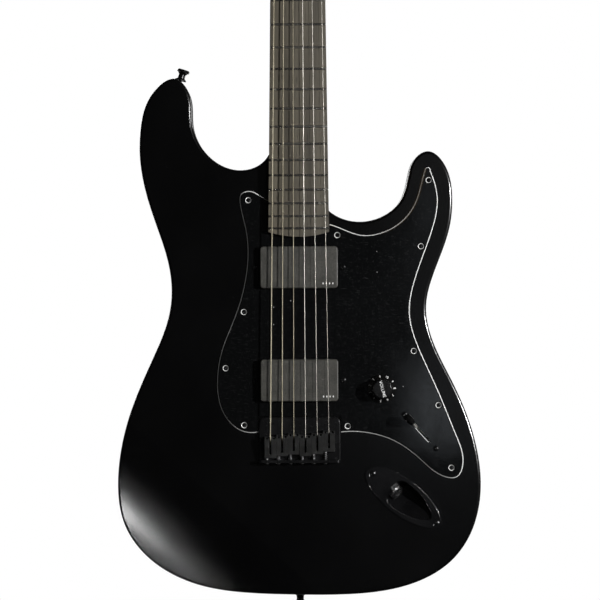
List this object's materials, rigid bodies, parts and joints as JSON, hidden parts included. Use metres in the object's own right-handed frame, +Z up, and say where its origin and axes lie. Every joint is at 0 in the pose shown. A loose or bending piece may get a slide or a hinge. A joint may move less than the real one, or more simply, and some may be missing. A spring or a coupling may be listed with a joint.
{
  "type": "electric guitar",
  "caption": "Solid-body electric guitar with double cutaways, bolt-on neck, fixed string-through bridge, block saddles and paired bar pickups.",
  "frame": {"origin": "seat of the tail strap button: on the neck's centreline, at the body's mid thickness, at the body's lowest edge", "axes": "+Z runs up the neck from the tail to the headstock, -Y points out of the face with the strings, +X points to the treble side, where the jack and controls are"},
  "size_m": [0.3252, 0.0697, 0.9939],
  "materials": {
    "satin_black_lacquer": "satin",
    "gloss_black_ply": "gloss",
    "white_ply": "satin",
    "maple": "satin",
    "ebony": "satin",
    "fret_metal": "polished",
    "black_nut": "satin",
    "white_dot": "satin",
    "black_hardware": "gloss",
    "dark_saddle": "satin",
    "spring_steel": "satin",
    "string_wound": "satin",
    "string_plain": "polished",
    "pickup_plastic": "satin",
    "coil_wire": "satin",
    "circuit_board": "satin",
    "plated_steel": "polished",
    "knob_plastic": "satin",
    "battery_shell": "satin"
  },
  "bodies": {
    "root": {"battery": "battery_shell", "battery_cover": "gloss_black_ply", "body": "satin_black_lacquer", "bridge_plate": "black_hardware", "bridge_screws": "black_hardware", "cover_plate_screws": "black_hardware", "fretboard": "ebony", "frets": "fret_metal", "intonation_screws": "dark_saddle", "intonation_springs": "spring_steel", "jack_plate": "black_hardware", "jack_socket": "plated_steel", "neck": "maple", "neck_plate": "black_hardware", "neck_screws": "black_hardware", "nut": "black_nut", "panel_nuts": "plated_steel", "pickguard_base_ply": "gloss_black_ply", "pickguard_core_ply": "white_ply", "pickguard_screws": "black_hardware", "pickguard_top_ply": "gloss_black_ply", "pickup_baseplates": "circuit_board", "pickup_coils": "coil_wire", "pickup_covers": "pickup_plastic", "pickup_height_screws": "black_hardware", "pickup_springs": "spring_steel", "plain_strings": "string_plain", "saddle_height_screws": "black_hardware", "saddles": "dark_saddle", "selector_screws": "black_hardware", "selector_switch": "plated_steel", "side_dots": "white_dot", "strap_button_screws": "black_hardware", "strap_buttons": "black_hardware", "string_ferrules": "black_hardware", "string_tree_screws": "black_hardware", "string_trees": "black_hardware", "truss_rod": "plated_steel", "tuner_bushings": "black_hardware", "tuner_housings": "black_hardware", "tuner_screws": "black_hardware", "volume_pot": "plated_steel", "wound_strings": "string_wound"},
    "volume_control": {"volume_knob": "knob_plastic", "volume_shaft": "plated_steel"},
    "selector": {"selector_lever": "plated_steel", "selector_tip": "knob_plastic"},
    "string_post_1": {"tuner_post_1": "black_hardware"},
    "tuning_key_1": {"tuner_key_1": "black_hardware"},
    "string_post_2": {"tuner_post_2": "black_hardware"},
    "tuning_key_2": {"tuner_key_2": "black_hardware"},
    "string_post_3": {"tuner_post_3": "black_hardware"},
    "tuning_key_3": {"tuner_key_3": "black_hardware"},
    "string_post_4": {"tuner_post_4": "black_hardware"},
    "tuning_key_4": {"tuner_key_4": "black_hardware"},
    "string_post_5": {"tuner_post_5": "black_hardware"},
    "tuning_key_5": {"tuner_key_5": "black_hardware"},
    "string_post_6": {"tuner_post_6": "black_hardware"},
    "tuning_key_6": {"tuner_key_6": "black_hardware"}
  },
  "joints": [
    {"name": "volume_turn", "type": "hinge", "parent": "root", "child": "volume_control", "pos_m": [0.0737, -0.02725, 0.1844], "axis": [0, -1, 0], "range_deg": [0, 300]},
    {"name": "selector_swing", "type": "hinge", "parent": "root", "child": "selector", "pos_m": [0.1079, -0.00955, 0.1459], "axis": [0.742, 0, 0.6704], "range_deg": [0, 56]},
    {"name": "key_1_turn", "type": "hinge", "parent": "root", "child": "tuning_key_1", "pos_m": [-0.0188, -0.0035, 0.83446], "axis": [-0.9646, 0, 0.2639], "range_deg": [-720, 720]},
    {"name": "post_1_turn", "type": "hinge", "parent": "root", "child": "string_post_1", "pos_m": [-0.02057, -0.0035, 0.828], "axis": [0, -1, 0], "range_deg": [-40, 40]},
    {"name": "key_2_turn", "type": "hinge", "parent": "root", "child": "tuning_key_2", "pos_m": [-0.01159, -0.0035, 0.85902], "axis": [-0.9646, 0, 0.2639], "range_deg": [-720, 720]},
    {"name": "post_2_turn", "type": "hinge", "parent": "root", "child": "string_post_2", "pos_m": [-0.01336, -0.0035, 0.85256], "axis": [0, -1, 0], "range_deg": [-40, 40]},
    {"name": "key_3_turn", "type": "hinge", "parent": "root", "child": "tuning_key_3", "pos_m": [-0.00462, -0.0035, 0.88359], "axis": [-0.9646, 0, 0.2639], "range_deg": [-720, 720]},
    {"name": "post_3_turn", "type": "hinge", "parent": "root", "child": "string_post_3", "pos_m": [-0.00639, -0.0035, 0.87712], "axis": [0, -1, 0], "range_deg": [-40, 40]},
    {"name": "key_4_turn", "type": "hinge", "parent": "root", "child": "tuning_key_4", "pos_m": [0.0021, -0.0035, 0.90815], "axis": [-0.9646, 0, 0.2639], "range_deg": [-720, 720]},
    {"name": "post_4_turn", "type": "hinge", "parent": "root", "child": "string_post_4", "pos_m": [0.00033, -0.0035, 0.90168], "axis": [0, -1, 0], "range_deg": [-40, 40]},
    {"name": "key_5_turn", "type": "hinge", "parent": "root", "child": "tuning_key_5", "pos_m": [0.00857, -0.0035, 0.93271], "axis": [-0.9646, 0, 0.2639], "range_deg": [-720, 720]},
    {"name": "post_5_turn", "type": "hinge", "parent": "root", "child": "string_post_5", "pos_m": [0.0068, -0.0035, 0.92625], "axis": [0, -1, 0], "range_deg": [-40, 40]},
    {"name": "key_6_turn", "type": "hinge", "parent": "root", "child": "tuning_key_6", "pos_m": [0.0148, -0.0035, 0.95727], "axis": [-0.9646, 0, 0.2639], "range_deg": [-720, 720]},
    {"name": "post_6_turn", "type": "hinge", "parent": "root", "child": "string_post_6", "pos_m": [0.01303, -0.0035, 0.95081], "axis": [0, -1, 0], "range_deg": [-40, 40]}
  ],
  "couplings": [
    {"joint": "post_1_turn", "follows": "key_1_turn", "ratio": 0.055556},
    {"joint": "post_2_turn", "follows": "key_2_turn", "ratio": 0.055556},
    {"joint": "post_3_turn", "follows": "key_3_turn", "ratio": 0.055556},
    {"joint": "post_4_turn", "follows": "key_4_turn", "ratio": 0.055556},
    {"joint": "post_5_turn", "follows": "key_5_turn", "ratio": 0.055556},
    {"joint": "post_6_turn", "follows": "key_6_turn", "ratio": 0.055556}
  ]
}
